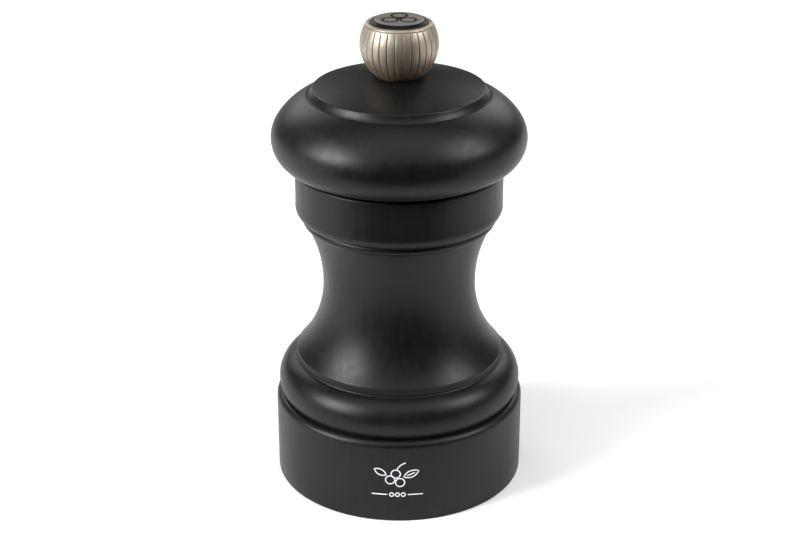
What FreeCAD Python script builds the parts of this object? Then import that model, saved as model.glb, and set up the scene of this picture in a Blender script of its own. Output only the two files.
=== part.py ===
"""Turned wooden pepper mill, 100 mm tall, with an adjustable steel grinding mechanism.

Frame: millimetres, +Z up along the mill's axis, origin at the centre of the face it stands on.
From the bottom: a lacquered body with the mechanism screwed into its underside, a head that turns
on the body and drives a square shaft, and a ribbed metal knob that screws onto the shaft's thread.
Tightening the knob draws the shaft and the grinding rotor up into the conical stator.
Every sub-part is a separate solid, written to its own STEP file.
"""

import FreeCAD
import Part
import math
import os

V = FreeCAD.Vector
AXIS = V(0, 0, 1)

# ---------------------------------------------------------------- driving dimensions (mm)
MILL_TOP_Z = 100.0

# body, outside
BASE_R = 26.44
BASE_TOP_Z = 18.45
BASE_ROUND = 1.5
BEAD_R = 25.8
BEAD_ARC_R = 5.36
BEAD_Z = 21.466
STEP_R = 21.9
STEP_FILLET = 0.4
WAIST_R = 16.03
WAIST_Z = 43.44
LOWER_COVE_R = 22.57
UPPER_COVE_R = 29.0
COVE_TOP_Z = 57.0
GROOVE_R = 19.95
GROOVE_Z = 58.62
COLLAR_R = 21.5
COLLAR_LOW_Z = 61.4
BODY_TOP_Z = 69.05

# body, inside
CHAMBER_R = 11.0
MOUTH_R = 13.0
MOUTH_FLOOR_Z = 61.5
MECHANISM_R = 13.7
CHAMBER_FLOOR_Z = 26.1
RECESS_R = 19.5
RECESS_TOP_Z = 5.8

# head
HEAD_BOTTOM_Z = 69.15
HEAD_R = 26.19
HEAD_MID_Z = 75.554
HEAD_LOWER_R = 6.26
HEAD_SHOULDER_R = 6.571
SHOULDER_ANGLE = 33.36
HEAD_FLANK_R = 13.664
FLANK_END_ANGLE = 68.3
DISC_R = 17.75
DISC_EDGE_Z = 85.42
DISC_ROUND = 0.5
BAND_FOOT_R = 18.62
BAND_FOOT_Z = 84.2
DOME_TOP_Z = 88.2
DOME_FLAT_R = 5.2
SPIGOT_R = 12.75
SPIGOT_LOW_Z = 62.0
SHAFT_HOLE_R = 3.4

# knob
KNOB_R = 7.97
KNOB_MID_Z = 94.87
KNOB_LOW_Z = 88.6
KNOB_RIM_Z = 99.35
KNOB_RIM_R = 6.3
KNOB_RIBS = 30
GROOVE_CUT_R = 0.22
GROOVE_DEPTH = 0.1
CAP_R = 5.86
CAP_FACE_R = 5.08
MEDALLION_R = 4.98
INSERT_R = 3.6
INSERT_TOP_Z = 96.4
CAP_SEAT_Z = 98.0
POCKET_R = 5.0

# shaft and its thread
SHAFT_SIDE = 4.5
SHAFT_CORNER_R = 2.95
SQUARE_TOP_Z = 85.5
THREAD_R = 2.0
THREAD_ROOT_R = 1.58
THREAD_PITCH = 0.7
SHAFT_TOP_Z = 96.2
TAIL_R = 2.3
TAIL_LOW_Z = 2.6

# mechanism
SLEEVE_WALL = 0.9
SLEEVE_R = 13.6
FRAME_TOP_Z = 26.0
FLANGE_R = 19.2
FLANGE_THICK = 1.0
LIP_R = 10.4
LIP_THICK = 1.0
BAR_THICK = 1.2
BAR_WIDTH = 9.0
SCREW_X = 16.3
SCREW_SHANK_R = 1.45
BRIDGE_THICK = 1.2
BRIDGE_WIDTH = 8.0
RIVET_X = 11.4
STATOR_R = 12.65
STATOR_LOW_Z = 8.2
STATOR_TOP_Z = 15.6
ROTOR_LOW_Z = 7.9
ROTOR_TOP_Z = 16.0
BURR_BEND_Z = 12.6
BURR_SLOPE = 0.52
STATOR_MOUTH_R = 9.1
GRIND_GAP = 0.8
FINE_TEETH = 36
COARSE_TEETH = 12
FEED_TEETH = 6
SPRING_WIRE = 0.8
SPRING_R = 4.3
SPRING_TURNS = 4.5
WASHER_THICK = 0.5
RETAINER_THICK = 0.7

FIT = 0.05          # gap between pieces that are pressed or seated together
RUN = 0.08          # gap between pieces that turn or slide on each other


# ---------------------------------------------------------------- helpers
def rz(r, z):
    return V(r, 0, z)


def on_circle(centre, radius, degrees):
    """Point (r, z) on a circle in the outline's plane, measured from the outward direction."""
    a = math.radians(degrees)
    return (centre[0] + radius * math.cos(a), centre[1] + radius * math.sin(a))


def outline(start, *steps):
    """Closed outline in the (r, z) half-plane: each step is a point, or an arc given as (middle, end)."""
    edges = []
    here = start
    for step in steps + (start,):
        if isinstance(step[0], tuple):
            middle, end = step
            edges.append(Part.Arc(rz(*here), rz(*middle), rz(*end)).toShape())
            here = end
        elif step != here:
            edges.append(Part.makeLine(rz(*here), rz(*step)))
            here = step
    return Part.Wire(edges)


def turned(wire):
    """Solid of revolution about the mill's axis."""
    return Part.Face(wire).revolve(V(0, 0, 0), AXIS, 360)


def ring(outer, inner, low, high):
    wire = outline((inner, low), (outer, low), (outer, high), (inner, high))
    return turned(wire)


def rod(radius, low, high, x=0.0, y=0.0):
    return Part.makeCylinder(radius, high - low, V(x, y, low))


def square_bar(side, low, high, corner_r=None):
    """Square bar on the axis; corner_r turns its corners down to that radius."""
    bar = Part.makeBox(side, side, high - low, V(-side / 2, -side / 2, low))
    if corner_r:
        bar = bar.common(rod(corner_r, low, high))
    return bar


def strap(length, width, low, high):
    """Flat strap along X with rounded ends."""
    body = Part.makeBox(length - width, width, high - low, V(-(length - width) / 2, -width / 2, low))
    for side in (-1, 1):
        body = body.fuse(rod(width / 2, low, high, x=side * (length - width) / 2))
    return body.removeSplitter()


def star_wire(teeth, tip_r, root_r, z, turn):
    """Closed zigzag of teeth at height z, turned by an angle in degrees."""
    points = []
    for i in range(2 * teeth):
        radius = tip_r if i % 2 == 0 else root_r
        a = math.radians(turn + 180.0 * i / teeth)
        points.append(V(radius * math.cos(a), radius * math.sin(a), z))
    return Part.makePolygon(points + points[:1])


def toothed_stage(teeth, depth, levels, twist):
    """Ruled solid through zigzags; levels are (z, outer radius) and twist is degrees per mm of height."""
    z0 = levels[0][0]
    wires = [star_wire(teeth, r, r - depth, z, twist * (z - z0)) for z, r in levels]
    return Part.makeLoft(wires, True, True)


def save(name, *solids):
    shape = solids[0] if len(solids) == 1 else Part.makeCompound(list(solids))
    shape.exportStep(f"parts/{name}.step")
    print(f"{name:22s} solids {len(shape.Solids)} volume {shape.Volume:9.1f} mm3 valid {shape.isValid()}")


# ---------------------------------------------------------------- turned wood
def body_outside():
    """Outer outline of the body, from the standing edge up to the seam."""
    bead = (BEAD_R - BEAD_ARC_R, BEAD_Z)
    bead_low = (bead[0] + math.sqrt(BEAD_ARC_R**2 - (BEAD_Z - BASE_TOP_Z) ** 2), BASE_TOP_Z)
    ledge_r = STEP_R + STEP_FILLET
    bead_high = (ledge_r, BEAD_Z + math.sqrt(BEAD_ARC_R**2 - (ledge_r - bead[0]) ** 2))
    fillet = (ledge_r, bead_high[1] + STEP_FILLET)
    corner = (BASE_R - BASE_ROUND, BASE_TOP_Z - BASE_ROUND)
    low_cove = (WAIST_R + LOWER_COVE_R, WAIST_Z)
    high_cove = (WAIST_R + UPPER_COVE_R, WAIST_Z)
    step_z = WAIST_Z - math.sqrt(LOWER_COVE_R**2 - (low_cove[0] - STEP_R) ** 2)

    def cove(centre, radius, z):
        return (centre[0] - math.sqrt(radius**2 - (z - WAIST_Z) ** 2), z)

    low_middle = cove(low_cove, LOWER_COVE_R, (step_z + WAIST_Z) / 2)
    high_middle = cove(high_cove, UPPER_COVE_R, (COVE_TOP_Z + WAIST_Z) / 2)
    return [
        (BASE_R - 0.35, 0.0),
        (on_circle((BASE_R - 0.35, 0.35), 0.35, -45), (BASE_R, 0.35)),
        (BASE_R, BASE_TOP_Z - BASE_ROUND),
        (on_circle(corner, BASE_ROUND, 45), on_circle(corner, BASE_ROUND, 90)),
        bead_low,
        (on_circle(bead, BEAD_ARC_R, 20), bead_high),
        (on_circle(fillet, -STEP_FILLET, 45), (STEP_R, fillet[1])),
        (STEP_R, step_z),
        (low_middle, (WAIST_R, WAIST_Z)),
        (high_middle, cove(high_cove, UPPER_COVE_R, COVE_TOP_Z)),
        ((GROOVE_R + 0.15, GROOVE_Z - 1.0), (GROOVE_R, GROOVE_Z)),
        (GROOVE_R + 0.7, GROOVE_Z + 0.33),
        ((COLLAR_R - 0.3, COLLAR_LOW_Z - 1.8), (COLLAR_R, COLLAR_LOW_Z)),
        (COLLAR_R, BODY_TOP_Z - 0.5),
        (on_circle((COLLAR_R - 0.5, BODY_TOP_Z - 0.5), 0.5, 45), (COLLAR_R - 0.5, BODY_TOP_Z)),
    ]


def wooden_body():
    inside = [
        (MOUTH_R + 0.4, BODY_TOP_Z),
        (MOUTH_R, BODY_TOP_Z - 0.4),
        (MOUTH_R, MOUTH_FLOOR_Z),
        (CHAMBER_R, MOUTH_FLOOR_Z - 1.5),
        (CHAMBER_R, CHAMBER_FLOOR_Z),
        (MECHANISM_R, CHAMBER_FLOOR_Z),
        (MECHANISM_R, RECESS_TOP_Z),
        (RECESS_R, RECESS_TOP_Z),
        (RECESS_R, 0.6),
        (RECESS_R + 0.6, 0.0),
    ]
    outside = body_outside()
    solid = turned(outline(outside[0], *outside[1:], *inside))
    for side in (-1, 1):
        solid = solid.cut(rod(SCREW_SHANK_R + FIT, RECESS_TOP_Z - 1, 15.2, x=side * SCREW_X))
    return solid


def head_outside():
    """Outer outline of the head, from its underside up to the flat under the knob."""
    lower = (HEAD_R - HEAD_LOWER_R, HEAD_MID_Z)
    shoulder = (HEAD_R - HEAD_SHOULDER_R, HEAD_MID_Z)
    shoulder_end = on_circle(shoulder, HEAD_SHOULDER_R, SHOULDER_ANGLE)
    flank = on_circle(shoulder_end, -HEAD_FLANK_R, SHOULDER_ANGLE)
    flank_middle = (SHOULDER_ANGLE + FLANK_END_ANGLE) / 2
    edge = (DISC_R - DISC_ROUND, DISC_EDGE_Z)
    return [
        (20.75, HEAD_BOTTOM_Z),
        on_circle(lower, HEAD_LOWER_R, -75),
        (on_circle(lower, HEAD_LOWER_R, -35), (HEAD_R, HEAD_MID_Z)),
        (on_circle(shoulder, HEAD_SHOULDER_R, SHOULDER_ANGLE / 2), shoulder_end),
        (on_circle(flank, HEAD_FLANK_R, flank_middle), on_circle(flank, HEAD_FLANK_R, FLANK_END_ANGLE)),
        (BAND_FOOT_R, BAND_FOOT_Z),
        ((BAND_FOOT_R - 0.52, BAND_FOOT_Z + 0.64), on_circle(edge, DISC_ROUND, 20)),
        (on_circle(edge, DISC_ROUND, 50), on_circle(edge, DISC_ROUND, 79)),
        ((11.5, 87.2), (DOME_FLAT_R, DOME_TOP_Z)),
    ]


def wooden_head():
    outside = head_outside()
    inside = [
        (SHAFT_HOLE_R + 0.3, DOME_TOP_Z),
        (SHAFT_HOLE_R, DOME_TOP_Z - 0.3),
        (SHAFT_HOLE_R, SPIGOT_LOW_Z + 1.6),
        (10.55, SPIGOT_LOW_Z + 1.6),
        (10.55, SPIGOT_LOW_Z),
        (SPIGOT_R - 0.5, SPIGOT_LOW_Z),
        (SPIGOT_R, SPIGOT_LOW_Z + 0.5),
        (SPIGOT_R, HEAD_BOTTOM_Z),
    ]
    solid = turned(outline(outside[0], *outside[1:], *inside))
    for x, y in nail_places():
        solid = solid.cut(rod(0.55 + FIT, SPIGOT_LOW_Z + 1, SPIGOT_LOW_Z + 6.3, x, y))
    return solid


# ---------------------------------------------------------------- head fittings
def nail_places():
    return [(7.6 * math.cos(a), 7.6 * math.sin(a)) for a in (math.radians(45 + 90 * i) for i in range(4))]


def drive_plate():
    """Steel disc with the square hole that turns the shaft."""
    plate = rod(10.5, SPIGOT_LOW_Z + 0.1, SPIGOT_LOW_Z + 1.6 - FIT)
    plate = plate.cut(square_bar(SHAFT_SIDE + 2 * RUN, 60, 65, SHAFT_CORNER_R + RUN))
    for x, y in nail_places():
        plate = plate.cut(rod(0.6, 60, 65, x, y))
    return plate


def drive_plate_nails():
    nails = []
    for x, y in nail_places():
        wire_part = rod(0.55, SPIGOT_LOW_Z, SPIGOT_LOW_Z + 6, x, y)
        flat_head = rod(1.25, SPIGOT_LOW_Z - 0.35, SPIGOT_LOW_Z + 0.1 - 0.02, x, y)
        nails.append(wire_part.fuse(flat_head).removeSplitter())
    return nails


def knob_washer():
    return ring(4.6, SHAFT_HOLE_R - 0.6, DOME_TOP_Z + 0.02, KNOB_LOW_Z - 0.02)


# ---------------------------------------------------------------- knob
def knob_shell():
    """Round knob with engraved meridian lines, bored for its threaded insert and cap."""
    centre = (0.0, KNOB_MID_Z)
    low = (math.sqrt(KNOB_R**2 - (KNOB_LOW_Z + 0.3 - KNOB_MID_Z) ** 2), KNOB_LOW_Z + 0.3)
    shoulder_z = 98.55
    shoulder = (math.sqrt(KNOB_R**2 - (shoulder_z - KNOB_MID_Z) ** 2), shoulder_z)
    wire = outline(
        (INSERT_R, KNOB_LOW_Z),
        (low[0] - 0.3, KNOB_LOW_Z),
        low,
        (on_circle(centre, KNOB_R, -5), shoulder),
        ((KNOB_RIM_R + 0.32, KNOB_RIM_Z - 0.16), (KNOB_RIM_R - 0.1, KNOB_RIM_Z)),
        (CAP_R + 0.08, KNOB_RIM_Z - 0.06),
        (CAP_R + 0.08, CAP_SEAT_Z),
        (POCKET_R, CAP_SEAT_Z),
        (POCKET_R, INSERT_TOP_Z + 0.1),
        (INSERT_R, INSERT_TOP_Z + 0.1),
    )
    solid = turned(wire)
    groove_path_r = KNOB_R + GROOVE_CUT_R - GROOVE_DEPTH
    cutter = Part.makeTorus(groove_path_r, GROOVE_CUT_R, V(0, 0, KNOB_MID_Z), V(0, 1, 0), -180, 180, 360)
    half = Part.makeBox(20, 4, 9.85, V(0, -2, KNOB_LOW_Z - 0.1))
    cutter = cutter.common(half)
    grooves = []
    for i in range(KNOB_RIBS):
        one = cutter.copy()
        one.rotate(V(0, 0, 0), AXIS, 360.0 * (i + 0.5) / KNOB_RIBS)
        grooves.append(one)
    return solid.cut(grooves)


def thread_insert():
    nut = ring(INSERT_R - FIT, THREAD_R + RUN, KNOB_LOW_Z + 0.1, INSERT_TOP_Z)
    return nut


def cap_bezel():
    """Black cap that closes the knob, with a sloping rim round its recessed face."""
    return turned(outline(
        (0, CAP_SEAT_Z + FIT),
        (CAP_R, CAP_SEAT_Z + FIT),
        (CAP_R, KNOB_RIM_Z - 0.02),
        (CAP_FACE_R, MILL_TOP_Z - 0.08),
        (MEDALLION_R + 0.02, MILL_TOP_Z - 0.08),
        (MEDALLION_R + 0.02, MILL_TOP_Z - 0.6),
        (0, MILL_TOP_Z - 0.6),
    ))


def cap_medallion():
    return turned(outline(
        (0, MILL_TOP_Z - 0.58),
        (MEDALLION_R, MILL_TOP_Z - 0.58),
        (MEDALLION_R, MILL_TOP_Z - 0.12),
        (MEDALLION_R - 0.3, MILL_TOP_Z),
        (0, MILL_TOP_Z),
    ))


# ---------------------------------------------------------------- shaft and what turns with it
def drive_shaft():
    """Square shaft with a thread on top and a round tail below the rotor."""
    square = square_bar(SHAFT_SIDE, ROTOR_LOW_Z, SQUARE_TOP_Z, SHAFT_CORNER_R)
    steps = [(THREAD_R, SQUARE_TOP_Z - 0.1)]
    z = SQUARE_TOP_Z + 0.6
    while z + THREAD_PITCH < SHAFT_TOP_Z - 0.4:
        steps += [(THREAD_R, z), (THREAD_ROOT_R, z + THREAD_PITCH / 2)]
        z += THREAD_PITCH
    steps += [(THREAD_R, z), (THREAD_R, SHAFT_TOP_Z - 0.4), (THREAD_R - 0.4, SHAFT_TOP_Z), (0, SHAFT_TOP_Z)]
    thread = turned(outline((0, SQUARE_TOP_Z - 0.1), *steps))
    clip_low = ROTOR_LOW_Z - 2 * RETAINER_THICK
    tail = turned(outline(
        (0, TAIL_LOW_Z),
        (TAIL_R - 0.3, TAIL_LOW_Z),
        (TAIL_R, TAIL_LOW_Z + 0.3),
        (TAIL_R, clip_low - FIT),
        (TAIL_R - 0.5, clip_low - FIT),
        (TAIL_R - 0.5, clip_low + RETAINER_THICK),
        (TAIL_R, clip_low + RETAINER_THICK),
        (TAIL_R, ROTOR_LOW_Z + 0.1),
        (0, ROTOR_LOW_Z + 0.1),
    ))
    return square.fuse([thread, tail]).removeSplitter()


def burr_r(z, gap):
    """Radius of the grinding cone at height z, held off the stator's teeth by gap."""
    return STATOR_MOUTH_R + BURR_SLOPE * max(0.0, BURR_BEND_Z - z) - gap


def rotor():
    """Male grinding burr: fine teeth on the cone, coarse cracking teeth above, feeding lobes on top."""
    fine = toothed_stage(FINE_TEETH, 0.55, [(ROTOR_LOW_Z, burr_r(ROTOR_LOW_Z, GRIND_GAP)),
                                            (BURR_BEND_Z - 1.2, burr_r(BURR_BEND_Z - 1.2, GRIND_GAP))], 3.5)
    crack = toothed_stage(COARSE_TEETH, 1.5, [(BURR_BEND_Z - 1.2, burr_r(BURR_BEND_Z - 1.2, GRIND_GAP) - 0.2),
                                              (ROTOR_TOP_Z - 1.4, 7.3)], 5.0)
    feed = toothed_stage(FEED_TEETH, 1.3, [(ROTOR_TOP_Z - 1.4, 6.6), (ROTOR_TOP_Z, 5.9)], 8.0)
    burr = fine.fuse([crack, feed])
    return burr.cut(square_bar(SHAFT_SIDE + 2 * FIT, 0, 30, SHAFT_CORNER_R + FIT))


def stator_ring():
    """Female grinding burr: coarse vertical flutes above, fine raked teeth on the cone."""
    blank = ring(STATOR_R, 1.0, STATOR_LOW_Z, STATOR_TOP_Z)
    low, bend = STATOR_LOW_Z - 0.2, BURR_BEND_Z
    depth = 0.55
    cone = toothed_stage(FINE_TEETH + 4, depth, [(low, burr_r(low, 0) + depth),
                                                 (bend, burr_r(bend, 0) + depth)], -3.5)
    flutes = toothed_stage(COARSE_TEETH, 1.1, [(bend - 0.05, STATOR_MOUTH_R + 1.1),
                                               (STATOR_TOP_Z + 0.2, STATOR_MOUTH_R + 1.5)], -2.0)
    return blank.cut([cone, flutes])


def rotor_washer():
    return ring(6.2, TAIL_R + FIT, ROTOR_LOW_Z - RETAINER_THICK + FIT, ROTOR_LOW_Z - FIT)


def retaining_clip():
    """E-clip in the groove of the tail."""
    low = ROTOR_LOW_Z - 2 * RETAINER_THICK
    clip = ring(4.2, TAIL_R - 0.5 + FIT, low, low + RETAINER_THICK)
    clip = clip.cut(Part.makeBox(6, 2.6, 2, V(0, -1.3, low - 0.5)))
    for side in (-1, 1):
        clip = clip.cut(rod(0.75, low - 0.5, low + 1.5, x=-0.6, y=side * 2.75))
    return clip


def thrust_washer():
    top = FRAME_TOP_Z - LIP_THICK - BRIDGE_THICK - RUN
    washer = rod(5.3, top - WASHER_THICK, top)
    return washer.cut(square_bar(SHAFT_SIDE + 2 * RUN, 0, 30, SHAFT_CORNER_R + RUN))


def grinder_spring():
    """Coil spring with ground ends, between the thrust washer and the rotor."""
    low = ROTOR_TOP_Z + 0.04
    high = FRAME_TOP_Z - LIP_THICK - BRIDGE_THICK - RUN - WASHER_THICK - 0.04
    free = high - low - 0.35 * SPRING_WIRE
    pitch = free / SPRING_TURNS
    coil = Part.makeHelix(pitch, free, SPRING_R)
    section = Part.Wire(Part.makeCircle(SPRING_WIRE / 2, V(SPRING_R, 0, 0), V(0, 1, 0)))
    wire = Part.Wire(coil.Edges).makePipeShell([section], True, True)
    wire.translate(V(0, 0, low + 0.175 * SPRING_WIRE))
    return wire.common(rod(8, low, high))


# ---------------------------------------------------------------- fixed mechanism
def grinder_frame():
    """Flanged steel sleeve that holds the stator, with an inward lip for the upper bridge."""
    low = RECESS_TOP_Z - FLANGE_THICK
    inner = SLEEVE_R - SLEEVE_WALL
    sleeve = turned(outline(
        (FLANGE_R, low),
        (FLANGE_R, RECESS_TOP_Z - FIT),
        (SLEEVE_R, RECESS_TOP_Z - FIT),
        (SLEEVE_R, FRAME_TOP_Z - 0.5),
        (SLEEVE_R - 0.5, FRAME_TOP_Z),
        (LIP_R, FRAME_TOP_Z),
        (LIP_R, FRAME_TOP_Z - LIP_THICK),
        (inner, FRAME_TOP_Z - LIP_THICK),
        (inner, low),
    ))
    holes = [rod(SCREW_SHANK_R + RUN, 0, 10, x=side * SCREW_X) for side in (-1, 1)]
    holes += [rod(0.8, 20, 30, x=side * RIVET_X) for side in (-1, 1)]
    return sleeve.cut(holes)


def upper_bridge():
    high = FRAME_TOP_Z - LIP_THICK - 0.01
    bar = strap(2 * (SLEEVE_R - SLEEVE_WALL - FIT), BRIDGE_WIDTH, high - BRIDGE_THICK, high)
    holes = [rod(SHAFT_CORNER_R + RUN, 15, 30)]
    holes += [rod(0.8, 15, 30, x=side * RIVET_X) for side in (-1, 1)]
    return bar.cut(holes)


def bridge_rivets():
    low = FRAME_TOP_Z - LIP_THICK - BRIDGE_THICK - 0.01
    rivets = []
    for side in (-1, 1):
        x = side * RIVET_X
        shank = rod(0.75, low - 0.1, FRAME_TOP_Z - 0.02, x=x)
        foot = rod(1.15, low - 0.5, low - 0.01, x=x)
        rivets.append(shank.fuse(foot).removeSplitter())
    return rivets


def lower_bar():
    high = RECESS_TOP_Z - FLANGE_THICK - 0.01
    low = high - BAR_THICK
    bar = strap(2 * (SCREW_X + 2.8), BAR_WIDTH, low, high)
    bar = bar.common(rod(FLANGE_R, low, high))
    holes = [rod(TAIL_R + RUN, 0, 10)]
    holes += [rod(SCREW_SHANK_R + RUN, 0, 10, x=side * SCREW_X) for side in (-1, 1)]
    return bar.cut(holes)


def frame_screws():
    """Two slotted round-head wood screws with tapered points."""
    seat = RECESS_TOP_Z - FLANGE_THICK - BAR_THICK - 0.02
    screws = []
    for side in (-1, 1):
        screw = turned(outline(
            (0, seat - 1.5),
            ((1.75, seat - 1.1), (2.7, seat)),
            (SCREW_SHANK_R, seat),
            (SCREW_SHANK_R, 12.4),
            (0, 15.0),
        ))
        screw = screw.cut(Part.makeBox(7, 0.7, 1.7, V(-3.5, -0.35, seat - 2.5)))
        screw.rotate(V(0, 0, 0), AXIS, 35 * side)
        screw.translate(V(side * SCREW_X, 0, 0))
        screws.append(screw)
    return screws


# ---------------------------------------------------------------- write the parts
def main():
    os.makedirs("parts", exist_ok=True)
    save("wooden_body", wooden_body())
    save("grinder_frame", grinder_frame())
    save("stator_ring", stator_ring())
    save("upper_bridge", upper_bridge())
    save("bridge_rivets", *bridge_rivets())
    save("lower_bar", lower_bar())
    save("frame_screws", *frame_screws())
    save("thrust_washer", thrust_washer())
    save("grinder_spring", grinder_spring())
    save("drive_shaft", drive_shaft())
    save("rotor", rotor())
    save("rotor_washer", rotor_washer())
    save("retaining_clip", retaining_clip())
    save("wooden_head", wooden_head())
    save("drive_plate", drive_plate())
    save("drive_plate_nails", *drive_plate_nails())
    save("knob_washer", knob_washer())
    save("knob_shell", knob_shell())
    save("thread_insert", thread_insert())
    save("cap_bezel", cap_bezel())
    save("cap_medallion", cap_medallion())


main()
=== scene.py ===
"""Looks of the turned pepper mill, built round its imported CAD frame.

Lengths are in mm until a mesh is made. Materials, lights and the camera are in metres.
"""

import math

import bpy
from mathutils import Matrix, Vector


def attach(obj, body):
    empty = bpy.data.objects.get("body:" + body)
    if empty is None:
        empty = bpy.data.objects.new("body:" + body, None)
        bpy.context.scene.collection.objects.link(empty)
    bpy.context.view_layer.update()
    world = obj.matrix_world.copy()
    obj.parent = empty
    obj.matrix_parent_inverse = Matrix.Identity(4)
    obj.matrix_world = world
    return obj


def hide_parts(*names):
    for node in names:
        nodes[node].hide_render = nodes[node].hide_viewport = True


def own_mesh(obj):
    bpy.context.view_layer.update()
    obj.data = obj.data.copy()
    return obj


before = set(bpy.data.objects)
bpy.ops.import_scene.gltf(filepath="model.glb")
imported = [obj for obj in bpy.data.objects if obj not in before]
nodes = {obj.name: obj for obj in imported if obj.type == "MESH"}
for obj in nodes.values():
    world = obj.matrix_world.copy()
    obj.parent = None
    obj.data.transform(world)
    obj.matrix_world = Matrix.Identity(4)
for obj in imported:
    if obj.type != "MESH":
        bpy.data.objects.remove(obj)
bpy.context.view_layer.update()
scene = bpy.context.scene
MM = 0.001
ON_AXIS, SAME_POINT = 1e-6, 1e-4
SHARP_CORNER, CORNER_STEPS = 22.0, 3


# ---------------------------------------------------------------- outlines
def on_circle(centre, radius, degrees):
    """The point on a circle at this angle."""
    a = math.radians(degrees)
    return (centre[0] + radius * math.cos(a), centre[1] + radius * math.sin(a))


def arc(centre, radius, first, last, step):
    """Points on a circle from one angle to another, in degrees."""
    count = max(2, math.ceil(abs(last - first) / step))
    return [on_circle(centre, radius, first + (last - first) * i / count) for i in range(count + 1)]


def arc_by(a, b, c, count):
    """Points on the arc from a through b to c."""
    (ax, ay), (bx, by), (cx, cy) = a, b, c
    d = 2 * (ax * (by - cy) + bx * (cy - ay) + cx * (ay - by))
    aa, bb, cc = ax**2 + ay**2, bx**2 + by**2, cx**2 + cy**2
    ux = (aa * (by - cy) + bb * (cy - ay) + cc * (ay - by)) / d
    uy = (aa * (cx - bx) + bb * (ax - cx) + cc * (bx - ax)) / d
    radius = math.hypot(ax - ux, ay - uy)
    first, mid, last = (math.degrees(math.atan2(y - uy, x - ux)) for x, y in (a, b, c))
    turn = (last - first) % 360
    if (mid - first) % 360 > turn:
        turn -= 360
    return [on_circle((ux, uy), radius, first + turn * i / count) for i in range(count + 1)]


def soften(points, radius, closed=True):
    """The outline with every sharp corner rounded off."""
    points = [p for i, p in enumerate(points) if math.dist(p, points[i - 1]) > SAME_POINT]
    out = []
    count = len(points)
    for i, p in enumerate(points):
        if not closed and i in (0, count - 1):
            out.append(p)
            continue
        before, after = Vector(points[i - 1]), Vector(points[(i + 1) % count])
        here = Vector(p)
        u, v = before - here, after - here
        bend = math.degrees(math.pi - u.angle(v))
        if bend < SHARP_CORNER:
            out.append(p)
            continue
        cut = min(radius * math.tan(math.radians(bend) / 2), 0.45 * u.length, 0.45 * v.length)
        a, b = here + u.normalized() * cut, here + v.normalized() * cut
        for k in range(CORNER_STEPS + 1):
            t = k / CORNER_STEPS
            out.append(tuple(a * (1 - t) ** 2 + here * 2 * t * (1 - t) + b * t**2))
    return out


# ---------------------------------------------------------------- meshes
def piece(name, verts, faces, material, body, slot, stands_for=(), sharp=40.0):
    """A named mesh piece that rides on a CAD body; verts are in mm."""
    mesh = bpy.data.meshes.new(name)
    mesh.from_pydata([(x * MM, y * MM, z * MM) for x, y, z in verts], [], faces)
    mesh.validate()
    mesh.polygons.foreach_set("use_smooth", [True] * len(mesh.polygons))
    mesh.set_sharp_from_angle(angle=math.radians(sharp))
    mesh.materials.append(material)
    made = bpy.data.objects.new(name, mesh)
    scene.collection.objects.link(made)
    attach(made, body)
    if stands_for:
        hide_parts(*stands_for)
    return made


def lathe_data(points, segments, shape=None):
    """Closed surface of revolution about Z.

    A point on the axis becomes a single pole, and shape(r, z, angle) may change r.
    """
    verts, faces, rings = [], [], []
    for r, z in points:
        if r < ON_AXIS:
            rings.append([len(verts)])
            verts.append((0.0, 0.0, z))
            continue
        ring = []
        for i in range(segments):
            a = 2 * math.pi * i / segments
            rr = shape(r, z, a) if shape else r
            ring.append(len(verts))
            verts.append((rr * math.cos(a), rr * math.sin(a), z))
        rings.append(ring)
    pairs = list(zip(rings, rings[1:]))
    if len(rings[0]) > 1 and len(rings[-1]) > 1:
        pairs.append((rings[-1], rings[0]))
    for low, high in pairs:
        for i in range(segments):
            j = (i + 1) % segments
            if len(low) == 1 and len(high) > 1:
                faces.append((low[0], high[j], high[i]))
            elif len(high) == 1 and len(low) > 1:
                faces.append((low[i], low[j], high[0]))
            elif len(low) > 1:
                faces.append((low[i], low[j], high[j], high[i]))
    return verts, faces


def lathe(name, points, material, body, slot, stands_for, segments, shape=None):
    """A turned piece made from its outline."""
    verts, faces = lathe_data(points, segments, shape)
    return piece(name, verts, faces, material, body, slot, stands_for)


def tube_data(path, radius, sides):
    """Round tube along a list of points, with flat ends."""
    verts, faces = [], []
    count = len(path)
    pts = [Vector(p) for p in path]
    side = None
    for i, p in enumerate(pts):
        along = (pts[min(i + 1, count - 1)] - pts[max(i - 1, 0)]).normalized()
        if side is None:
            side = along.orthogonal().normalized()
        side = (side - along * side.dot(along)).normalized()
        other = along.cross(side)
        for k in range(sides):
            a = 2 * math.pi * k / sides
            verts.append(tuple(p + (side * math.cos(a) + other * math.sin(a)) * radius))
    for i in range(count - 1):
        for k in range(sides):
            j = (k + 1) % sides
            faces.append((i * sides + k, i * sides + j, (i + 1) * sides + j, (i + 1) * sides + k))
    faces.append(tuple(range(sides))[::-1])
    faces.append(tuple(range((count - 1) * sides, count * sides)))
    return verts, faces


# ---------------------------------------------------------------- materials
def new_material(name):
    """A node material, with its node tree and its Principled shader."""
    material = bpy.data.materials.new(name)
    material.use_nodes = True
    tree = material.node_tree
    shader = tree.nodes["Principled BSDF"]
    return material, tree, shader


def add(tree, kind, **values):
    """A node with these input values."""
    node = tree.nodes.new(kind)
    for key, value in values.items():
        node.inputs[key].default_value = value
    return node


def object_coordinates(tree, stretch=(1, 1, 1)):
    """Coordinates fixed to the piece, in metres, stretched along each axis."""
    place = tree.nodes.new("ShaderNodeTexCoord")
    scale = add(tree, "ShaderNodeMapping", Scale=stretch)
    tree.links.new(place.outputs["Object"], scale.inputs["Vector"])
    return scale.outputs["Vector"]


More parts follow.
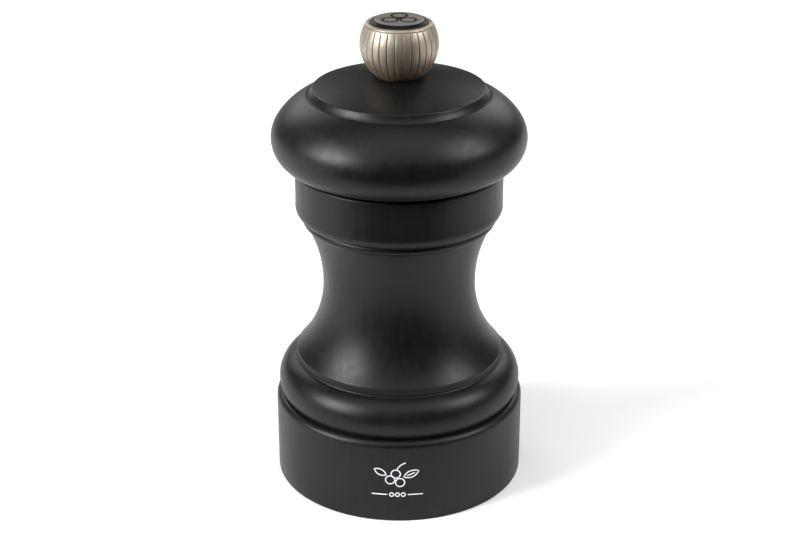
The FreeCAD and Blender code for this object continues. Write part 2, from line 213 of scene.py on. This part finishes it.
def noise(tree, vector, scale, detail, roughness):
    """A noise value at these coordinates."""
    node = add(tree, "ShaderNodeTexNoise", Scale=scale, Detail=detail, Roughness=roughness)
    tree.links.new(vector, node.inputs["Vector"])
    return node.outputs["Fac"]


def ramp(tree, value, low, high, first, last):
    """Maps low..high to first..last, clamped."""
    node = tree.nodes.new("ShaderNodeMapRange")
    node.inputs["From Min"].default_value = low
    node.inputs["From Max"].default_value = high
    node.inputs["To Min"].default_value = first
    node.inputs["To Max"].default_value = last
    tree.links.new(value, node.inputs["Value"])
    return node.outputs["Result"]


def mix_colour(tree, factor, a, b):
    """Colour a where factor is 0 and b where it is 1. Each is a colour or a socket."""
    node = tree.nodes.new("ShaderNodeMix")
    node.data_type = "RGBA"
    tree.links.new(factor, node.inputs["Factor"])
    for socket, value in (("A", a), ("B", b)):
        target = [s for s in node.inputs if s.name == socket and s.type == "RGBA"][0]
        if isinstance(value, tuple):
            target.default_value = (*value, 1)
        else:
            tree.links.new(value, target)
    return [s for s in node.outputs if s.type == "RGBA"][0]


def combine(tree, operation, a, b):
    """A sum or product. Each side is a number or a socket."""
    node = tree.nodes.new("ShaderNodeMath")
    node.operation = operation
    for i, value in enumerate((a, b)):
        if isinstance(value, (int, float)):
            node.inputs[i].default_value = value
        else:
            tree.links.new(value, node.inputs[i])
    return node.outputs[0]


def bump(tree, shader, height, distance, strength):
    """Relief of this height, in metres, on the shader's normal."""
    node = add(tree, "ShaderNodeBump", Strength=strength, Distance=distance)
    tree.links.new(height, node.inputs["Height"])
    tree.links.new(node.outputs["Normal"], shader.inputs["Normal"])


def lacquered_wood():
    """Satin black lacquer: open vertical grain showing faintly through, and fine lathe lines."""
    material, tree, shader = new_material("black_lacquered_wood")
    grain = noise(tree, object_coordinates(tree, (1, 1, 0.12)), 900, 5, 0.6)
    cloud = noise(tree, object_coordinates(tree), 55, 3, 0.5)
    turning = noise(tree, object_coordinates(tree, (0.08, 0.08, 1)), 1500, 3, 0.5)
    peel = noise(tree, object_coordinates(tree), 1400, 2, 0.5)
    streaks = ramp(tree, grain, 0.35, 0.7, 0, 1)
    colour = mix_colour(tree, streaks, (0.0018, 0.0018, 0.0021), (0.0042, 0.0040, 0.0040))
    tree.links.new(colour, shader.inputs["Base Color"])
    handled = ramp(tree, cloud, 0.3, 0.7, -0.025, 0.035)
    worn = combine(tree, "ADD", handled, ramp(tree, grain, 0.3, 0.7, 0.36, 0.44))
    tree.links.new(worn, shader.inputs["Roughness"])
    height = combine(tree, "MULTIPLY", grain, 0.5)
    height = combine(tree, "ADD", height, combine(tree, "MULTIPLY", turning, 0.25))
    height = combine(tree, "ADD", height, combine(tree, "MULTIPLY", peel, 0.35))
    bump(tree, shader, height, 0.00003, 0.5)
    shader.inputs["Specular IOR Level"].default_value = 0.26
    return material


def bare_wood():
    """Unfinished beech, with long fibres up the turned piece."""
    material, tree, shader = new_material("bare_beech")
    fibre = noise(tree, object_coordinates(tree, (1, 1, 0.06)), 1500, 4, 0.6)
    cloud = noise(tree, object_coordinates(tree, (1, 1, 0.3)), 220, 3, 0.5)
    patches = ramp(tree, cloud, 0.3, 0.7, 0, 1)
    tint = mix_colour(tree, patches, (0.50, 0.315, 0.165), (0.40, 0.235, 0.115))
    tint = mix_colour(tree, ramp(tree, fibre, 0.55, 0.75, 0, 0.6), tint, (0.25, 0.13, 0.06))
    tree.links.new(tint, shader.inputs["Base Color"])
    tree.links.new(ramp(tree, fibre, 0.3, 0.7, 0.62, 0.78), shader.inputs["Roughness"])
    bump(tree, shader, fibre, 0.00008, 0.6)
    return material


def metal(name, colour, dark, roughness, spread, scale, stretch, depth, metallic=1.0):
    """Metal with fine directional scratches, patchy colour and roughness."""
    material, tree, shader = new_material(name)
    scratches = noise(tree, object_coordinates(tree, stretch), scale, 4, 0.6)
    patches = noise(tree, object_coordinates(tree), scale * 0.12, 3, 0.5)
    tint = mix_colour(tree, ramp(tree, patches, 0.3, 0.75, 0, 1), colour, dark)
    tree.links.new(tint, shader.inputs["Base Color"])
    worn = ramp(tree, scratches, 0.3, 0.7, roughness - spread, roughness + spread)
    tree.links.new(worn, shader.inputs["Roughness"])
    shader.inputs["Metallic"].default_value = metallic
    bump(tree, shader, scratches, depth, 0.6)
    return material


def aged_bronze():
    """Brushed nickel-bronze, dark brown in the engraved lines and in speckles, with painted shade
    at the foot and a painted warm bounce on the lower half.
    """
    material, tree, shader = new_material("aged_bronze")
    brushed = noise(tree, object_coordinates(tree, (1, 1, 0.15)), 2600, 4, 0.65)
    speckle = noise(tree, object_coordinates(tree), 2300, 4, 0.6)
    cloud = noise(tree, object_coordinates(tree), 260, 3, 0.5)
    patina_and_foot_shade = tree.nodes.new("ShaderNodeAttribute")
    patina_and_foot_shade.attribute_name = "patina_and_foot_shade"
    patches = ramp(tree, cloud, 0.35, 0.7, 0, 1)
    tint = mix_colour(tree, patches, (0.45, 0.39, 0.315), (0.31, 0.26, 0.20))
    # painted warm bounce light: the lower half of the ball is tinted a warmer, darker brown than
    # the upper half
    split = tree.nodes.new("ShaderNodeSeparateXYZ")
    tree.links.new(object_coordinates(tree), split.inputs[0])
    painted_bounce_lower_half = ramp(tree, split.outputs["Z"], 0.0885, 0.0945, 1, 0)
    tint = mix_colour(tree, painted_bounce_lower_half, tint, (0.43, 0.31, 0.205))
    tint = mix_colour(tree, ramp(tree, speckle, 0.62, 0.74, 0, 0.5), tint, (0.16, 0.115, 0.08))
    # real patina in the lines and groove, and painted shade at the foot, darken the bronze
    tint = mix_colour(tree, patina_and_foot_shade.outputs["Fac"], tint, (0.028, 0.019, 0.013))
    tree.links.new(tint, shader.inputs["Base Color"])
    rough = ramp(tree, brushed, 0.3, 0.7, 0.41, 0.55)
    rough = combine(tree, "ADD", rough, combine(tree, "MULTIPLY", patina_and_foot_shade.outputs["Fac"], 0.3))
    tree.links.new(rough, shader.inputs["Roughness"])
    shader.inputs["Metallic"].default_value = 0.85
    bump(tree, shader, combine(tree, "ADD", brushed, speckle), 0.00003, 0.5)
    return material


def polymer(name, colour, roughness, specular=0.5):
    """Moulded plastic, paint or ink with a fine grain."""
    material, tree, shader = new_material(name)
    shader.inputs["Specular IOR Level"].default_value = specular
    grain = noise(tree, object_coordinates(tree), 2500, 3, 0.5)
    cloud = noise(tree, object_coordinates(tree), 200, 3, 0.5)
    lighter = tuple(min(1.0, c * 1.5 + 0.004) for c in colour)
    tree.links.new(mix_colour(tree, cloud, colour, lighter), shader.inputs["Base Color"])
    worn = ramp(tree, grain, 0.3, 0.7, roughness - 0.05, roughness + 0.05)
    tree.links.new(worn, shader.inputs["Roughness"])
    bump(tree, shader, grain, 0.00002, 0.5)
    return material


LACQUER = lacquered_wood()
BEECH = bare_wood()
BRONZE = aged_bronze()
BEZEL_BLACK = polymer("bezel_black", (0.003, 0.003, 0.003), 0.4, 0.08)
INK_BLACK = polymer("ink_black", (0.003, 0.003, 0.003), 0.6, 0.1)
PRINT_WHITE = polymer("print_white", (0.62, 0.63, 0.65), 0.55)
WASHER_BLACK = polymer("washer_black", (0.012, 0.012, 0.012), 0.5)
MEDALLION = metal("grey_medallion", (0.30, 0.27, 0.24), (0.22, 0.195, 0.17),
                  0.5, 0.07, 1800, (1, 1, 1), 0.00004, 0.75)
BRASS = metal("yellow_brass", (0.78, 0.58, 0.27), (0.62, 0.43, 0.18),
              0.28, 0.08, 1500, (0.2, 0.2, 1), 0.00002)
ZINC = metal("zinc_plated_steel", (0.60, 0.61, 0.62), (0.46, 0.47, 0.48),
             0.33, 0.08, 900, (1, 1, 0.4), 0.00002)
BURR_STEEL = metal("hardened_steel", (0.27, 0.27, 0.28), (0.16, 0.155, 0.15),
                   0.45, 0.1, 1200, (1, 1, 1), 0.00004)
WIRE_STEEL = metal("spring_steel", (0.50, 0.50, 0.51), (0.38, 0.38, 0.39),
                   0.3, 0.08, 1600, (1, 1, 1), 0.00002)
DRAWN_ALUMINIUM = metal("bright_aluminium", (0.78, 0.78, 0.79), (0.66, 0.66, 0.67),
                        0.3, 0.08, 1400, (1, 1, 0.06), 0.00003)


# ---------------------------------------------------------------- turned wood
BASE_R, BASE_TOP, BASE_ROUND = 26.44, 18.45, 1.5
BEAD, BEAD_R = (20.44, 21.466), 5.36
LEDGE_R, STEP_R = 22.3, 21.9
WAIST = (16.03, 43.44)
LOWER_COVE, UPPER_COVE = 22.57, 29.0
COLLAR_R, BODY_TOP = 21.5, 69.05
MOUTH_R, CHAMBER_R, MECHANISM_R, RECESS_R = 13.0, 11.0, 13.7, 19.5
SPIGOT_R, SPIGOT_LOW, SHAFT_HOLE_R = 12.75, 62.0, 3.4
HEAD_LOW, HEAD_TOP = 69.15, 88.2


def cove(radius, z_from, z_to, count=28):
    """Part of a hollow round the waist."""
    points = []
    for i in range(count + 1):
        z = z_from + (z_to - z_from) * i / count
        points.append((WAIST[0] + radius - math.sqrt(radius**2 - (z - WAIST[1]) ** 2), z))
    return points


def body_outline():
    """Outside of the body from the foot up, then the mouth, chamber and recess down."""
    first = -math.degrees(math.asin((BEAD[1] - BASE_TOP) / BEAD_R))
    last = math.degrees(math.acos((LEDGE_R - BEAD[0]) / BEAD_R))
    points = [(BASE_R - 0.35, 0.0)] + arc((BASE_R - 0.35, 0.35), 0.35, -60, 0, 20)
    points += [(BASE_R, z) for z in (4, 9, 13)]
    points += arc((BASE_R - BASE_ROUND, BASE_TOP - BASE_ROUND), BASE_ROUND, 0, 90, 8)
    points += arc(BEAD, BEAD_R, first, last, 4)
    ledge_z = points[-1][1]
    points += arc((LEDGE_R, ledge_z + 0.4), -0.4, 90, 0, 18)[1:]
    points += [(STEP_R, 27.5)]
    reach = WAIST[0] + LOWER_COVE - STEP_R
    points += cove(LOWER_COVE, WAIST[1] - math.sqrt(LOWER_COVE**2 - reach**2), WAIST[1])
    points += cove(UPPER_COVE, WAIST[1], 57.0)[1:]
    points += arc_by(points[-1], (20.1, 57.62), (19.95, 58.62), 10)[1:]
    points += [(20.65, 58.95)] + arc_by((20.65, 58.95), (21.2, 59.6), (COLLAR_R, 61.4), 8)[1:]
    points += [(COLLAR_R, z) for z in (64, 67, 68.5)] + arc((21.0, 68.55), 0.5, 15, 90, 15)
    points += [(17.5, BODY_TOP), (13.4, BODY_TOP)] + [(MOUTH_R, z) for z in (68.65, 65, 61.5)]
    points += [(CHAMBER_R, z) for z in (60.0, 50, 38, 26.1)]
    points += [(MECHANISM_R, z) for z in (26.1, 15, 5.8)]
    points += [(RECESS_R, 5.8), (RECESS_R, 0.6), (20.1, 0.0)]
    return soften(points, 0.1)


def head_outline():
    """Cushion, raised disc and dome, then the shaft hole and spigot."""
    points = [(SPIGOT_R, HEAD_LOW), (20.75, HEAD_LOW)] + arc((19.93, 75.554), 6.26, -75, 0, 4)
    points += arc((19.619, 75.554), 6.571, 0, 33.36, 4)[1:]
    points += arc((13.695, 71.654), 13.664, 33.36, 68.3, 2.5)[1:]
    points += arc_by((18.62, 84.2), (18.1, 84.84), (17.72, 85.59), 8)
    points += arc((17.25, 85.42), 0.5, 20, 79, 10)[1:]
    points += arc_by(points[-1], (11.5, 87.2), (5.2, HEAD_TOP), 14)[1:]
    points += [(3.7, HEAD_TOP)] + [(SHAFT_HOLE_R, z) for z in (87.9, 80, 70, 63.6)]
    points += [(10.55, 63.6), (10.55, SPIGOT_LOW)]
    points += [(12.25, SPIGOT_LOW), (SPIGOT_R, 62.5), (SPIGOT_R, 66)]
    return soften(points, 0.12)


def bore_unlacquered(turned, inside, below):
    """Bare wood on the faces within this radius and under this height."""
    turned.data.materials.append(BEECH)
    for face in turned.data.polygons:
        if math.hypot(face.center.x, face.center.y) < inside * MM and face.center.z < below * MM:
            face.material_index = 1


bored_body = lathe("turned_body", body_outline(), LACQUER, "mill_body", "black_lacquered_wood",
                   ["wooden_body"], 256)
bore_unlacquered(bored_body, 13.75, BODY_TOP)
bored_head = lathe("turned_head", head_outline(), LACQUER, "head", "black_lacquered_wood",
                   ["wooden_head"], 256)
bore_unlacquered(bored_head, 12.2, 80.0)


# ---------------------------------------------------------------- knob
KNOB_MID, KNOB_R, RIBS = 94.87, 7.97, 30
KNOB_FOOT, BALL_LOW, BALL_HIGH = 88.6, 88.9, 98.78
LINE_LOW, LINE_HIGH, LINE_FADE = 88.9, 98.72, 0.25
LINE_HALF, LINE_CUT, PANEL_HOLLOW = 0.05, 0.1, 0.02
INSIDE_R = 5.1


def knob_outline():
    """The ball, a fine groove, the rim, and the pocket for the cap."""
    first = math.degrees(math.asin((BALL_LOW - KNOB_MID) / KNOB_R))
    last = math.degrees(math.asin((BALL_HIGH - KNOB_MID) / KNOB_R))
    ball = arc((0, KNOB_MID), KNOB_R, first, last, 1.6)
    r, z = ball[-1]
    points = [(3.6, KNOB_FOOT), (ball[0][0] - 0.3, KNOB_FOOT)] + ball
    points += [(r - 0.12, z + 0.06), (r - 0.14, z + 0.14), (r - 0.09, z + 0.2)]
    points += arc_by((r - 0.09, z + 0.2), (6.6, 99.25), (6.2, 99.38), 8)[1:]
    points += [(5.94, 99.29), (5.94, 98.0), (5.0, 98.0), (5.0, 96.5), (3.6, 96.5)]
    return soften(points, 0.06)


def line_depth(z, angle):
    """How deep an engraved line is here, from 0 to 1."""
    turn = angle / (2 * math.pi) * RIBS
    rib = round(turn)
    wander = 0.012 * math.sin(1.7 * z + 2.1 * rib) + 0.008 * math.sin(5.3 * z + 1.3 * rib)
    line = math.exp(-(((turn - rib + wander) / LINE_HALF) ** 2))
    top = min(1.0, max(0.0, (LINE_HIGH - z) / LINE_FADE))
    foot = min(1.0, max(0.0, (z - LINE_LOW) / LINE_FADE))
    return line * top * foot


def knob_shape(r, z, angle):
    """The ball's radius with its slightly hollow panels and engraved lines."""
    if r < INSIDE_R or not LINE_LOW < z < LINE_HIGH:
        return r
    turn = angle / (2 * math.pi) * RIBS
    across = abs(turn - round(turn))
    return r - PANEL_HOLLOW * (1 - 2 * across) ** 2 - LINE_CUT * line_depth(z, angle)


def patina_and_foot_shade_depth(co):
    """How dark the bronze is here: patina in the lines and in the groove under the rim, and painted
    shade at the foot, where the knob sits on the head.
    """
    r, z = math.hypot(co.x, co.y) / MM, co.z / MM
    if r <= INSIDE_R or not 88.65 < z < 98.9:
        return 0.0
    groove = 0.6 * math.exp(-((z - 98.88) / 0.1) ** 2)
    # painted shade: the bronze darkens towards the foot, where the knob sits on the washer and head
    foot = 0.7 * math.exp(-((z - 88.7) / 0.4) ** 2)
    return min(1.0, max(line_depth(z, math.atan2(co.y, co.x)), groove, foot))


knob = lathe("ribbed_knob", knob_outline(), BRONZE, "knob", "aged_bronze", ["knob_shell"],
             RIBS * 20, knob_shape)
# this attribute holds real patina in the lines and groove, and painted shade at the foot
patina_and_foot_shade = knob.data.attributes.new("patina_and_foot_shade", "FLOAT", "POINT")
patina_and_foot_shade.data.foreach_set("value", [patina_and_foot_shade_depth(v.co) for v in knob.data.vertices])

cap_rim = [(0, 98.05), (5.86, 98.05), (5.86, 99.33), (5.08, 99.9), (5.0, 99.9)]
cap_rim += [(5.0, 99.4), (0, 99.4)]
lathe("cap_rim", soften(cap_rim, 0.06, closed=False), BEZEL_BLACK, "knob", "black_polymer",
      ["cap_bezel"], 128)
cap_disc = [(0, 99.42), (4.98, 99.42), (4.98, 99.88), (4.7, 99.97), (3, 99.99), (0, 100.0)]
lathe("cap_disc", soften(cap_disc, 0.06, closed=False), MEDALLION, "knob", "grey_medallion",
      ["cap_medallion"], 128)


# ---------------------------------------------------------------- plain marks
def ribbon(path, half, low, high, closed=False, place=None):
    """A thin flat line of print along a path, between two heights. place maps (x, y, height)."""
    verts, faces = [], []
    count = len(path)
    for i, (x, y) in enumerate(path):
        before = path[i - 1] if closed or i > 0 else path[i]
        after = path[(i + 1) % count] if closed or i < count - 1 else path[i]
        dx, dy = after[0] - before[0], after[1] - before[1]
        size = math.hypot(dx, dy)
        nx, ny = -dy / size * half, dx / size * half
        left, right = (x + nx, y + ny), (x - nx, y - ny)
        verts += [(*left, high), (*right, high), (*right, low), (*left, low)]
    for i in range(count if closed else count - 1):
        a, b = 4 * i, 4 * ((i + 1) % count)
        for k in range(4):
            faces.append((a + k, a + (k + 1) % 4, b + (k + 1) % 4, b + k))
    if not closed:
        faces += [(3, 2, 1, 0), tuple(4 * (count - 1) + k for k in range(4))]
    if place:
        verts = [place(*v) for v in verts]
    return verts, faces


def join_data(parts):
    """The vertices and faces of several meshes as one."""
    verts, faces = [], []
    for v, f in parts:
        start = len(verts)
        verts += v
        faces += [tuple(i + start for i in face) for face in f]
    return verts, faces


def circle(cx, cy, r, count=28):
    """A closed ring of points."""
    return arc((cx, cy), r, 0, 360 - 360 / count, 360 / count)


# three outlined peppercorns on the knob's cap: a plain generic mark in black line
CAP_INK = (99.9, 100.02)
corns = [circle(*on_circle((0, 0), 2.1, a), 1.55) for a in (90, 210, 330)]
marks = [ribbon(path, 0.24, *CAP_INK, True) for path in corns]
marks += [ribbon(circle(0, 0, 0.3, 12), 0.2, *CAP_INK, True)]
piece("cap_mark", *join_data(marks), INK_BLACK, "knob", "black_polymer", sharp=30)


# print on the base: its turn from the front in radians, half a line's width, its faces' heights
MARK_TURN = -0.014
PRINT_HALF, PRINT = 0.12, (-0.06, 0.02)
CORN_R, RULE_Z = 0.95, 6.4


def on_base(x, z, height):
    """Wraps the plane round the front of the base; height is above its surface."""
    a = x / BASE_R + MARK_TURN
    return ((BASE_R + height) * math.sin(a), -(BASE_R + height) * math.cos(a), z)


def leaf(x, z, length, width, degrees):
    """Closed outline of a pointed leaf from its stalk end."""
    side = [(length * t / 8, width * math.sin(math.pi * t / 8) ** 0.8) for t in range(9)]
    around = side + [(a, -b) for a, b in side[-2:0:-1]]
    c, d = math.cos(math.radians(degrees)), math.sin(math.radians(degrees))
    return [(x + a * c - b * d, z + a * d + b * c) for a, b in around]


# a peppercorn sprig in thin white line over a plain rule, printed on the front of the base
sprig = [(circle(x, z, CORN_R, 24), True) for x, z in ((-1.5, 9.9), (0.55, 9.3), (-0.35, 11.3))]
sprig += [(leaf(1.3, 10.6, 3.4, 0.75, 24), True), (leaf(-2.3, 11.0, 2.8, 0.65, 152), True)]
sprig += [(arc_by((-0.1, 12.3), (0.6, 13.3), (1.7, 13.9), 8), False)]
sprig += [([(2.0, 10.9), (3.6, 11.6)], False)]
sprig += [([(side * (5.3 - 0.53 * k), RULE_Z) for k in range(7)], False) for side in (-1, 1)]
sprig += [(circle(x, RULE_Z, 0.42, 16), True) for x in (-1.2, 0.0, 1.2)]
lines = [ribbon(path, PRINT_HALF, *PRINT, shut, on_base) for path, shut in sprig]
piece("base_mark", *join_data(lines), PRINT_WHITE, "mill_body", "white_print", sharp=30)

lathe("seat_washer", soften([(4.6, 88.22), (4.6, 88.58), (2.8, 88.58), (2.8, 88.22)], 0.1),
      WASHER_BLACK, "knob_seat", "black_polymer", ["knob_washer"], 96)


# ---------------------------------------------------------------- shaft and spring
SQUARE_HALF, CORNER_R, THREAD_R, TAIL_R, CLIP_R = 2.25, 2.95, 2.0, 2.3, 1.8
SQUARE_LOW, SQUARE_HIGH = 7.8, 85.6
PITCH, THREAD_DEPTH, THREAD_LOW, THREAD_HIGH = 0.7, 0.4, 85.9, 96.0


def shaft_shape(r, z, angle):
    """The square section between its ends, and the helical thread above it."""
    if r >= CORNER_R - 0.01 and SQUARE_LOW < z < SQUARE_HIGH:
        return min(SQUARE_HALF / max(abs(math.cos(angle)), abs(math.sin(angle))), CORNER_R)
    if r != THREAD_R or z < THREAD_LOW:
        return r
    turn = (z / PITCH - angle / (2 * math.pi)) % 1.0
    run_out = min(1.0, (THREAD_HIGH - z) / 0.5, (z - THREAD_LOW) / 0.6)
    return THREAD_R - THREAD_DEPTH * max(0.0, run_out) * (1 - abs(2 * turn - 1))


shaft = [(0, 2.6), (2.0, 2.6), (TAIL_R, 2.9), (TAIL_R, 6.45), (CLIP_R, 6.45), (CLIP_R, 7.2)]
shaft += [(TAIL_R, 7.2), (TAIL_R, 7.85), (CORNER_R, 7.9)]
shaft += [(CORNER_R, z) for z in (20, 40, 60, 75, 85.2, 85.5)] + [(THREAD_R, SQUARE_HIGH)]
shaft += [(THREAD_R, 85.7 + 0.07 * i) for i in range(145)] + [(1.7, 96.2), (0, 96.2)]
verts, faces = lathe_data(shaft, 96, shaft_shape)
piece("square_shaft", verts, faces, DRAWN_ALUMINIUM, "drive", "bright_aluminium",
      ["drive_shaft"], sharp=28)

SPRING_LOW, SPRING_HIGH, SPRING_R, WIRE = 16.04, 23.18, 4.3, 0.4
TURNS, DEAD_TURNS, STEPS = 4.5, 0.75, 40


def spring_path():
    """Centre line of the coil, with flat dead turns at both ends."""
    low, high = SPRING_LOW + WIRE, SPRING_HIGH - WIRE
    path = []
    for i in range(int(TURNS * STEPS) + 1):
        t = i / STEPS
        if t < DEAD_TURNS:
            z = low
        elif t > TURNS - DEAD_TURNS:
            z = high
        else:
            u = (t - DEAD_TURNS) / (TURNS - 2 * DEAD_TURNS)
            z = low + (high - low) * (u * 0.9 + 0.1 * u * u * (3 - 2 * u))
        a = 2 * math.pi * t
        path.append((SPRING_R * math.cos(a), SPRING_R * math.sin(a), z))
    return path


spring = piece("coil_spring", *tube_data(spring_path(), WIRE, 14), WIRE_STEEL, "spring_carrier",
               "spring_steel", ["grinder_spring"])
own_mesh(spring)


# ---------------------------------------------------------------- carried-over CAD nodes
carried = {
    "grinder_frame": ZINC, "stator_ring": BURR_STEEL, "upper_bridge": ZINC, "bridge_rivets": ZINC,
    "lower_bar": ZINC, "frame_screws": ZINC, "thrust_washer": ZINC, "rotor": BURR_STEEL,
    "rotor_washer": ZINC, "retaining_clip": WIRE_STEEL, "drive_plate": ZINC,
    "drive_plate_nails": ZINC, "thread_insert": BRASS,
}
for name, material in carried.items():
    mesh = nodes[name].data
    mesh.materials.clear()
    mesh.materials.append(material)


# ---------------------------------------------------------------- floor, light, camera
def paper_sheet(name, corners, place, paint, grey, specular):
    """A flat rectangle of paper that isn't part of the mill."""
    mesh = bpy.data.meshes.new(name)
    mesh.from_pydata(corners, [], [(0, 1, 2, 3)])
    sheet = bpy.data.objects.new(name, mesh)
    sheet.location = place
    scene.collection.objects.link(sheet)
    material, _, shader = new_material(paint)
    shader.inputs["Base Color"].default_value = (grey, grey, grey, 1)
    shader.inputs["Roughness"].default_value = 0.9
    shader.inputs["Specular IOR Level"].default_value = specular
    mesh.materials.append(material)
    return sheet


FLOOR = 3.0
corners = [(-FLOOR, -FLOOR, 0), (FLOOR, -FLOOR, 0), (FLOOR, FLOOR, 0), (-FLOOR, FLOOR, 0)]
floor = paper_sheet("floor", corners, (0, 0, -0.00002), "pale_paper", 0.9, 0.1)

# a black card leans back in front, hidden from the camera, and darkens what the lacquer mirrors
corners = [(-0.2, 0, 0), (0.2, 0, 0), (0.2, -0.11, 0.105), (-0.2, -0.11, 0.105)]
card = paper_sheet("black_card", corners, (0, -0.1, 0), "black_paper", 0.01, 0.5)
card.visible_camera = False
card.visible_shadow = False


def softbox(name, azimuth, elevation, distance, width, height, power, colour):
    """Area light aimed at the mill; azimuth 0 is the camera's side, positive to the right."""
    a, e = math.radians(azimuth), math.radians(elevation)
    target = Vector((0, 0, 0.05))
    away = Vector((math.sin(a) * math.cos(e), -math.cos(a) * math.cos(e), math.sin(e)))
    data = bpy.data.lights.new(name, "AREA")
    data.shape = "RECTANGLE"
    data.size, data.size_y = width, height
    data.energy = power
    data.color = colour
    lamp = bpy.data.objects.new(name, data)
    lamp.location = target + away * distance
    lamp.rotation_euler = away.to_track_quat("Z", "Y").to_euler()
    scene.collection.objects.link(lamp)


softbox("key_left", -66, 29, 0.9, 0.42, 0.44, 12.5, (0.94, 0.97, 1))
softbox("fill_right", 76, 40, 0.9, 0.36, 0.42, 5.6, (0.97, 0.98, 1))
softbox("rim_left", -150, 27, 0.9, 0.4, 0.45, 1.6, (1, 0.97, 0.93))
softbox("rim_right", 150, 27, 0.9, 0.4, 0.45, 1.6, (1, 0.97, 0.93))

sky = bpy.data.lights.new("top_even", "SUN")
sky.energy = 1.15
sky.angle = math.radians(60)
sky_lamp = bpy.data.objects.new("top_even", sky)
sky_lamp.rotation_euler = (math.radians(17), 0, 0)
scene.collection.objects.link(sky_lamp)

world = bpy.data.worlds.new("studio")
scene.world = world
world.use_nodes = True
background = world.node_tree.nodes["Background"]
background.inputs["Color"].default_value = (1, 1, 1, 1)
# the room is dim, and the backdrop that the camera sees beyond the floor is pale
ray = world.node_tree.nodes.new("ShaderNodeLightPath")
backdrop = ramp(world.node_tree, ray.outputs["Is Camera Ray"], 0, 1, 0.07, 0.38)
world.node_tree.links.new(backdrop, background.inputs["Strength"])

lens = bpy.data.cameras.new("camera")
lens.sensor_width = 36.0
lens.lens = 77.67
lens.shift_x = 0.001
lens.shift_y = -0.00318
lens.dof.use_dof = False
camera = bpy.data.objects.new("camera", lens)
camera.location = (0, -0.33253, 0.19423)
camera.rotation_euler = (math.radians(66.078), 0, 0)
scene.collection.objects.link(camera)
scene.camera = camera
scene.view_settings.view_transform = "Standard"
